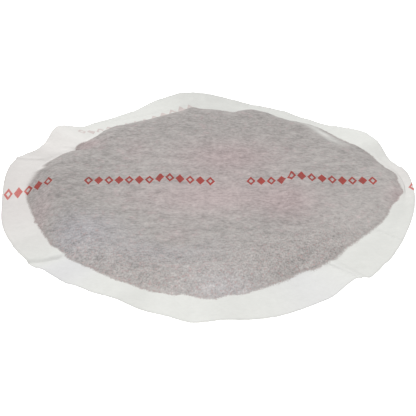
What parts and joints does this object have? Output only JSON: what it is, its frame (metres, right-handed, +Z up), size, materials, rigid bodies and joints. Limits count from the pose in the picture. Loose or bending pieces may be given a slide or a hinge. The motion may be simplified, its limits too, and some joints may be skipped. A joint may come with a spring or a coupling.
{
  "type": "coffee filter pack",
  "caption": "Flat round pack of ground coffee sealed between filter paper discs, with a ruffled rim, for the basket of a drip brewer.",
  "frame": {"origin": "centre of the flat base, on the table, under the centre of the discs", "axes": "+Z up through the pack; +X along the row of marks on the upper disc; +Y away from the picture's viewer"},
  "size_m": [0.1601, 0.16, 0.0098],
  "materials": {
    "upper_filter_paper": "matte, thin and see-through, with a row of small red marks",
    "lower_filter_paper": "matte, thin and see-through, with rows of small red marks",
    "coffee_grounds": "matte, fine loose grains"
  },
  "bodies": {
    "root": {"upper_filter_sheet": "upper_filter_paper", "lower_filter_sheet": "lower_filter_paper", "ground_coffee": "coffee_grounds"}
  },
  "joints": []
}
